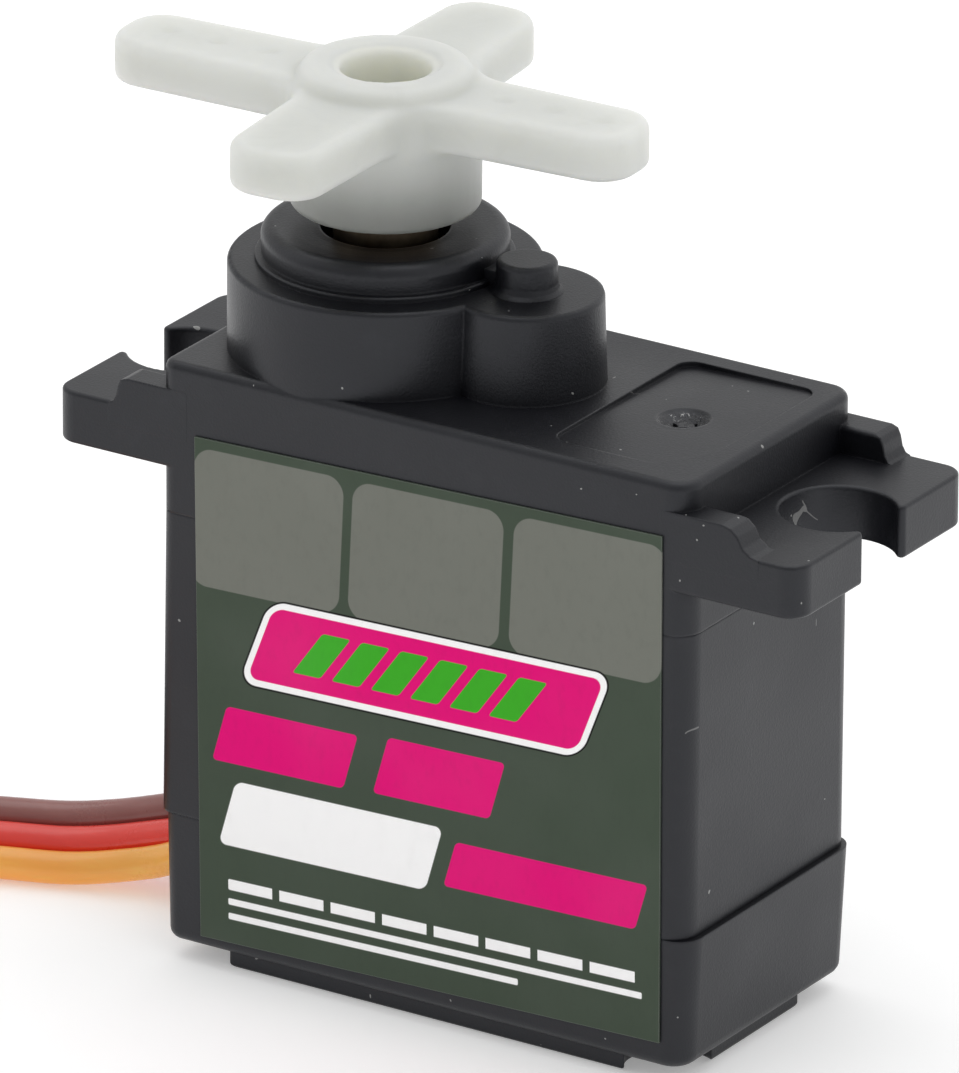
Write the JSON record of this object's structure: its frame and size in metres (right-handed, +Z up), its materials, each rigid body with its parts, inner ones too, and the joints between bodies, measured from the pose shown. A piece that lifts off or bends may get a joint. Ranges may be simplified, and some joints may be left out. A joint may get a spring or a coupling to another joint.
{
  "type": "servo motor",
  "caption": "Micro servo: slotted-ear plastic case, four-arm horn on a splined shaft over a geared motor, three-wire lead with plug.",
  "frame": {"origin": "midway between the two ear slots, on the upper face of the mounting ears", "axes": "+X along the case towards the motor end, +Z up through the horn, -Y is the labelled front"},
  "size_m": [0.052, 0.031, 0.0356],
  "materials": {
    "case_plastic": "charcoal moulded plastic, fine grain",
    "black_steel": "blackened steel screw",
    "label_film": "printed sticker film",
    "horn_nylon": "off-white nylon, slightly translucent",
    "bright_steel": "bright zinc-plated steel",
    "output_steel": "sintered steel",
    "gear_brass": "cut brass",
    "gear_steel": "hardened steel",
    "pin_steel": "ground steel pin",
    "bushing_bronze": "oilite bronze",
    "bearing_steel": "polished bearing steel",
    "ball_steel": "polished balls",
    "cage_brass": "pressed brass",
    "can_steel": "drawn plated steel",
    "magnet_ferrite": "ferrite",
    "cap_nylon": "white nylon end cap",
    "brush_carbon": "carbon",
    "terminal_brass": "stamped brass",
    "core_steel": "laminated steel",
    "winding_copper": "enamelled copper wire",
    "commutator_copper": "copper",
    "sensor_nylon": "dark moulded plastic",
    "track_carbon": "carbon film",
    "shaft_nylon": "white nylon",
    "inner_wire": "thin hook-up wire",
    "board_green": "solder-masked circuit board",
    "chip_black": "moulded chip",
    "passive_tan": "ceramic",
    "wire_brown": "PVC insulation",
    "wire_red": "PVC insulation",
    "wire_orange": "PVC insulation",
    "plug_plastic": "black moulded plug",
    "contact_gold": "plated crimp contact"
  },
  "bodies": {
    "case": {"top_case": "case_plastic", "middle_case": "case_plastic", "bottom_cover": "case_plastic", "case_screws": "black_steel", "front_label": "label_film", "gear_pin": "pin_steel", "lower_bushing": "bushing_bronze", "bearing_outer_race": "bearing_steel", "motor_can": "can_steel", "motor_front_bushing": "bushing_bronze", "motor_magnets": "magnet_ferrite", "motor_end_cap": "cap_nylon", "motor_rear_bushing": "bushing_bronze", "motor_brushes": "brush_carbon", "motor_terminals": "terminal_brass", "sensor_body": "sensor_nylon", "sensor_base": "sensor_nylon", "sensor_track": "track_carbon", "sensor_terminals": "terminal_brass", "sensor_wires": "inner_wire", "circuit_board": "board_green", "controller_chip": "chip_black", "drive_transistors": "chip_black", "board_passives": "passive_tan", "cable_wire_brown": "wire_brown", "cable_wire_red": "wire_red", "cable_wire_orange": "wire_orange", "plug_housing": "plug_plastic", "plug_contacts": "contact_gold"},
    "output": {"output_gear": "output_steel", "output_horn": "horn_nylon", "horn_screw": "bright_steel", "bearing_inner_race": "bearing_steel", "sensor_shaft": "shaft_nylon", "sensor_wiper": "terminal_brass"},
    "ball_ring": {"bearing_balls": "ball_steel", "bearing_cage": "cage_brass"},
    "third_stage": {"third_gear": "gear_steel"},
    "second_stage": {"second_gear": "gear_brass"},
    "first_stage": {"first_gear": "gear_brass"},
    "rotor": {"motor_shaft": "pin_steel", "motor_pinion": "gear_brass", "armature_core": "core_steel", "armature_windings": "winding_copper", "commutator": "commutator_copper"}
  },
  "joints": [
    {"name": "output_turn", "type": "hinge", "parent": "case", "child": "output", "pos_m": [-0.0055, 0, 0], "axis": [0, 0, 1], "range_deg": [-90, 90]},
    {"name": "ball_ring_turn", "type": "hinge", "parent": "case", "child": "ball_ring", "pos_m": [-0.0055, 0, 0], "axis": [0, 0, 1], "continuous": true},
    {"name": "third_gear_turn", "type": "hinge", "parent": "case", "child": "third_stage", "pos_m": [0.0008, 0, 0], "axis": [0, 0, 1], "continuous": true},
    {"name": "second_gear_turn", "type": "hinge", "parent": "case", "child": "second_stage", "pos_m": [-0.0055, 0, 0], "axis": [0, 0, 1], "continuous": true},
    {"name": "first_gear_turn", "type": "hinge", "parent": "case", "child": "first_stage", "pos_m": [0.0008, 0, 0], "axis": [0, 0, 1], "continuous": true},
    {"name": "rotor_turn", "type": "hinge", "parent": "case", "child": "rotor", "pos_m": [0.006, 0, 0], "axis": [0, 0, 1], "continuous": true}
  ],
  "couplings": [
    {"joint": "ball_ring_turn", "follows": "output_turn", "ratio": 0.41667},
    {"joint": "third_gear_turn", "follows": "output_turn", "ratio": -2.6},
    {"joint": "second_gear_turn", "follows": "output_turn", "ratio": 8.2333},
    {"joint": "first_gear_turn", "follows": "output_turn", "ratio": -26.072},
    {"joint": "rotor_turn", "follows": "output_turn", "ratio": 124.57}
  ]
}
